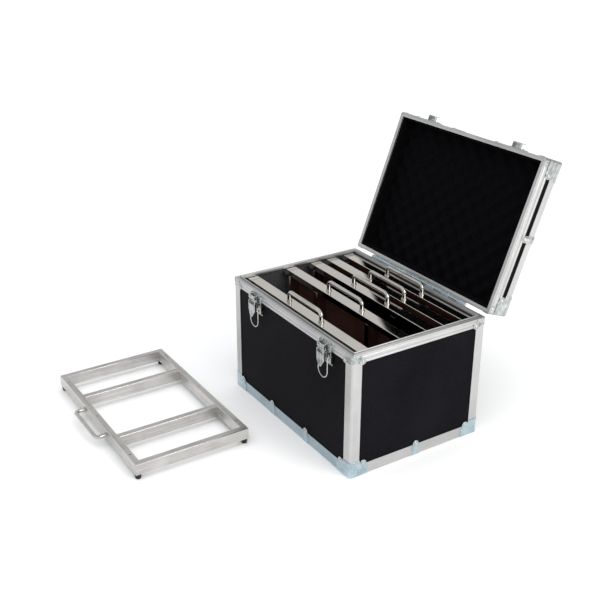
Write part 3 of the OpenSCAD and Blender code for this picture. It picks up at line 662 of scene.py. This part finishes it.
rubber, rubber_shader = new_finish("black_rubber", (0.012, 0.012, 0.012), 0.7, specular=0.35)
grit = spots(rubber, (900, 900, 900), 3.0)
relief(rubber, rubber_shader, grit, 0.0002, 0.5)
drive(rubber, rubber_shader, "Base Color", shades(
    rubber, spread(rubber, grit, 0.35, 0.65, 0, 1), (0.008, 0.008, 0.008), (0.022, 0.022, 0.021)))

foot_radius = 6 * MM
foot_profile = [(r * MM, h * MM) for r, h in (
    (0, 0), (6, 0), (6, 2.8), (5.7, 5.0), (5.1, 8.0), (4.7, 9.1), (4.0, 9.5), (2.6, 9.5),
    (2.4, 9.2), (2.4, 7.4), (1.6, 7.1), (0, 7.1))]

for number in range(1, 7):
    node = f"rack_{number}_feet"
    low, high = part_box(node)
    out = Vector((0, 0, -1)) if number == 2 else Vector((0, -1, 0))
    form = bmesh.new()
    for x in (low.x + foot_radius, high.x - foot_radius):
        for end in (0, 1):
            if number == 2:
                seat = Vector((x, (low.y + foot_radius, high.y - foot_radius)[end], high.z))
            else:
                seat = Vector((x, high.y, (low.z + foot_radius, high.z - foot_radius)[end]))
            turned(form, foot_profile, Matrix.Translation(seat) @ aim_z(out), around=26)
    mesh = to_mesh(form, node.replace("_", "-"))
    mesh.set_sharp_from_angle(angle=math.radians(50))
    fit(node.replace("_", "-"), mesh, rubber, node)


# ---------------------------------------------------------------- painting boards and screws
# A sheet of dark hardboard closes the back of each standing rack. Six pan-head screws hold
# it to the long tubes.

hardboard, hardboard_shader = new_finish("dark_hardboard", (0.10, 0.042, 0.03), 0.55, specular=0.4)
fibre = spots(hardboard, (500, 500, 500), 4.0)
stain = spots(hardboard, (25, 25, 25), 5.0)
pulp = sum_of(hardboard, [(fibre, 0.5), (stain, 0.5)])
relief(hardboard, hardboard_shader, pulp, 0.00015, 0.5)
drive(hardboard, hardboard_shader, "Base Color", shades(
    hardboard, spread(hardboard, pulp, 0.38, 0.62, 0, 1), (0.045, 0.018, 0.013), (0.105, 0.043, 0.030)))

for number in (1, 3, 4, 5, 6):
    eased(f"rack_{number}_board", hardboard, 0.35 * MM, sharper=60)
    node = f"rack_{number}_screws"
    form = bmesh.new()
    for tip, out, length in fixings(node):
        out = Vector((0, 1, 0))
        tip = Vector((tip.x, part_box(node)[1].y, tip.z))
        turned(form, [(r * MM, h * MM) for r, h in (
            (0, -length / MM), (1.8, -length / MM), (1.8, -1.2), (3.2, -1.2), (3.2, -0.7), (2.8, -0.25),
            (1.9, 0), (0.9, 0), (0.7, -0.5), (0, -0.7))], Matrix.Translation(tip) @ aim_z(out), around=16)
    mesh = to_mesh(form, node.replace("_", "-"))
    mesh.set_sharp_from_angle(angle=math.radians(50))
    lay_grain(mesh)
    fit(node.replace("_", "-"), mesh, nickel, node)


# ---------------------------------------------------------------- lid panels
# The lid's top and its narrow side strips are the same laminate-faced plywood as the walls.

for panel in ("lid_top_panel", "lid_side_panels"):
    coat(panel, laminate)


# ---------------------------------------------------------------- foam in the lid
# A pad of black convoluted foam, cut with rows of staggered soft peaks, is glued under the
# top panel. A smooth strip of the same foam is glued round the walls of the lid.

foam, foam_shader = new_finish("black_cut_foam", (0.003, 0.003, 0.0035), 1.0, specular=0.03)
cells = sum_of(foam, [(spots(foam, (1500, 1500, 1500), 2.0), 0.6), (spots(foam, (400, 400, 400), 3.0), 0.4)])
relief(foam, foam_shader, cells, 0.0005, 0.9)
drive(foam, foam_shader, "Base Color", shades(
    foam, spread(foam, cells, 0.35, 0.65, 0, 1), (0.0012, 0.0012, 0.0015), (0.005, 0.005, 0.006)))

shut_points = [shut_lid @ v.co for v in nodes["lid_foam"].data.vertices]
foam_high = spans(shut_points)[1]
pad_low = max(z for z in (p.z for p in shut_points) if z < foam_high.z - 5 * MM)
foam_high = spans([p for p in shut_points if p.z > foam_high.z - MM])[1]
foam_low = Vector((-foam_high.x, -foam_high.y, pad_low))
peak_pitch = 20 * MM
peak_depth = 8.5 * MM
cell = 2.5 * MM
across_count = round((foam_high.x - foam_low.x) / cell)
deep_count = round((foam_high.y - foam_low.y) / cell)
form = bmesh.new()
face_side, glue_side = [], []
for i in range(across_count + 1):
    x = foam_low.x + (foam_high.x - foam_low.x) * i / across_count
    face_row, glue_row = [], []
    for j in range(deep_count + 1):
        y = foam_low.y + (foam_high.y - foam_low.y) * j / deep_count
        wave = 0.5 + 0.5 * math.sin(math.pi * x / peak_pitch) * math.sin(math.pi * y / peak_pitch)
        near = min(x - foam_low.x, foam_high.x - x, y - foam_low.y, foam_high.y - y)
        rim_dip = 0.35 * max(0, 1 - near / (6 * MM)) ** 2
        z = foam_low.z + peak_depth * min(1, (1 - wave ** 1.25) + rim_dip)
        face_row.append(form.verts.new(open_lid @ Vector((x, y, z))))
        glue_row.append(form.verts.new(open_lid @ Vector((x, y, foam_high.z))))
    face_side.append(face_row)
    glue_side.append(glue_row)
for i in range(across_count):
    for j in range(deep_count):
        form.faces.new((face_side[i][j], face_side[i][j + 1], face_side[i + 1][j + 1], face_side[i + 1][j]))
        form.faces.new((glue_side[i][j], glue_side[i + 1][j], glue_side[i + 1][j + 1], glue_side[i][j + 1]))
outline = ([(i, 0) for i in range(across_count)]
           + [(across_count, j) for j in range(deep_count)]
           + [(i, deep_count) for i in range(across_count, 0, -1)]
           + [(0, j) for j in range(deep_count, 0, -1)])
for (a, b), (c, d) in zip(outline, outline[1:] + outline[:1]):
    form.faces.new((face_side[a][b], face_side[c][d], glue_side[c][d], glue_side[a][b]))
strip_foot = seam + 4.2 * MM
strip_profile = [(6.1 * MM, strip_foot + 0.6 * MM), (6.6 * MM, strip_foot), (10.6 * MM, strip_foot),
                 (11.6 * MM, strip_foot + 0.8 * MM), (12 * MM, strip_foot + 2.4 * MM),
                 (12 * MM, pad_low + peak_depth), (6.6 * MM, pad_low + peak_depth)]
strip_mesh = rim_band("strip", strip_profile, half_x, half_y, case_corner, open_lid)
form.from_mesh(strip_mesh)
bmesh.ops.recalc_face_normals(form, faces=form.faces)
foam_mesh = to_mesh(form, "lid-foam")
foam_mesh.set_sharp_from_angle(angle=math.radians(60))
fit("lid-foam", foam_mesh, foam, "lid_foam")


# ---------------------------------------------------------------- carrying handle
# A black rubber strap with ribs, arched over the lid, its ends held in two pressed steel caps.

eased("carry_handle", rubber, 1.2 * MM, steps=3, on_lid=True, sharper=60)
eased("carry_handle_caps", grey_zinc, 0.6 * MM, steps=3, on_lid=True, sharper=50)
